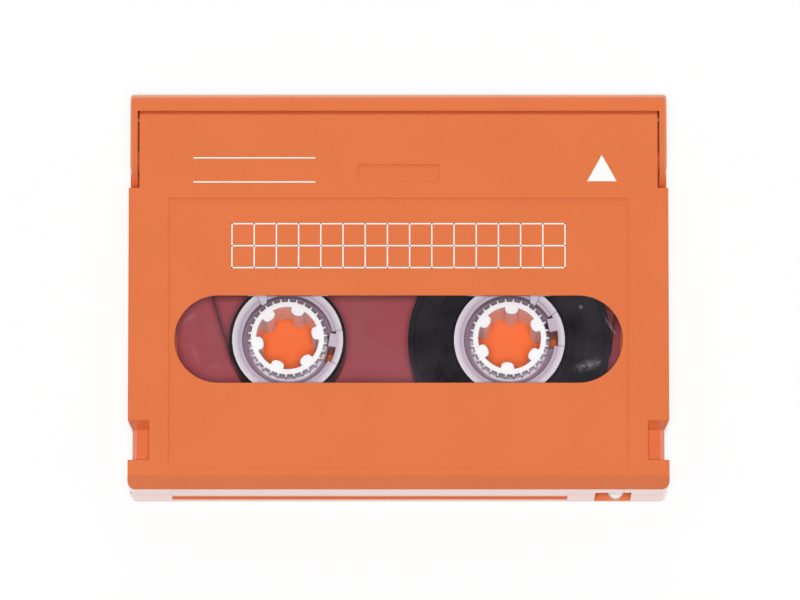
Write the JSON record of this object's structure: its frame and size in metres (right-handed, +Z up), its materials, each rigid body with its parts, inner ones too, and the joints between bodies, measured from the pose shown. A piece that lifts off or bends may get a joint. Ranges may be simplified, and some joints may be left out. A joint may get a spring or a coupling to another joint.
{
  "type": "tape cleaning cartridge",
  "caption": "Flat moulded tape cleaning cartridge with a hinged front lid, a bottom slider, a clear window over two toothed tape reels and a rear write-protect tab.",
  "frame": {"origin": "under the middle of the case, on the surface it lies on", "axes": "+X across the case towards the write-protect tab, +Y towards the lid, +Z up through the window"},
  "size_m": [0.073, 0.054, 0.0147],
  "materials": {
    "case_orange": "fine moulded grain",
    "clear_pane": "clear moulded",
    "spring_steel": "plain",
    "reel_white": "translucent moulded",
    "tape_black": "smooth wound tape",
    "slip_film": "thin hazy film",
    "brake_clear": "milky moulded",
    "tab_white": "moulded"
  },
  "bodies": {
    "case": {"upper_shell": "case_orange", "window": "clear_pane", "lower_shell": "case_orange", "tape_span": "tape_black", "upper_liner": "slip_film", "lower_liner": "slip_film", "brake_spring": "spring_steel", "screws": "spring_steel", "left_prism": "clear_pane", "right_prism": "clear_pane"},
    "lid": {"lid": "case_orange", "lid_spring": "spring_steel"},
    "slider": {"slider": "case_orange"},
    "left_reel": {"left_hub": "reel_white", "left_clamp": "reel_white", "left_tape_pack": "tape_black"},
    "right_reel": {"right_hub": "reel_white", "right_clamp": "reel_white", "right_tape_pack": "tape_black"},
    "brake": {"hub_brake": "brake_clear"},
    "protect_tab": {"write_protect_tab": "tab_white"}
  },
  "joints": [
    {"name": "lid_hinge", "type": "hinge", "parent": "case", "child": "lid", "pos_m": [0, 0.0182, 0.0108], "axis": [1, 0, 0], "range_deg": [0, 85], "stiffness_Nm_per_rad": 0.0015, "springref_deg": -34.38},
    {"name": "slider_slide", "type": "slide", "parent": "case", "child": "slider", "axis": [0, -1, 0], "range_m": [0, 0.0103]},
    {"name": "right_reel_spin", "type": "hinge", "parent": "case", "child": "right_reel", "pos_m": [0.015, -0.0064, 0.0074], "axis": [0, 0, 1], "continuous": true},
    {"name": "left_reel_spin", "type": "hinge", "parent": "case", "child": "left_reel", "pos_m": [-0.015, -0.0064, 0.0074], "axis": [0, 0, 1], "continuous": true},
    {"name": "brake_slide", "type": "slide", "parent": "case", "child": "brake", "axis": [0, 1, 0], "range_m": [0, 0.0012], "deforming": ["brake_spring"]},
    {"name": "protect_tab_slide", "type": "slide", "parent": "case", "child": "protect_tab", "axis": [-1, 0, 0], "range_m": [0, 0.0016]}
  ],
  "couplings": [
    {"joint": "left_reel_spin", "follows": "right_reel_spin", "ratio": 1.7342},
    {"joint": "brake_slide", "follows": "lid_hinge", "m_per_rad": 0.0008}
  ]
}
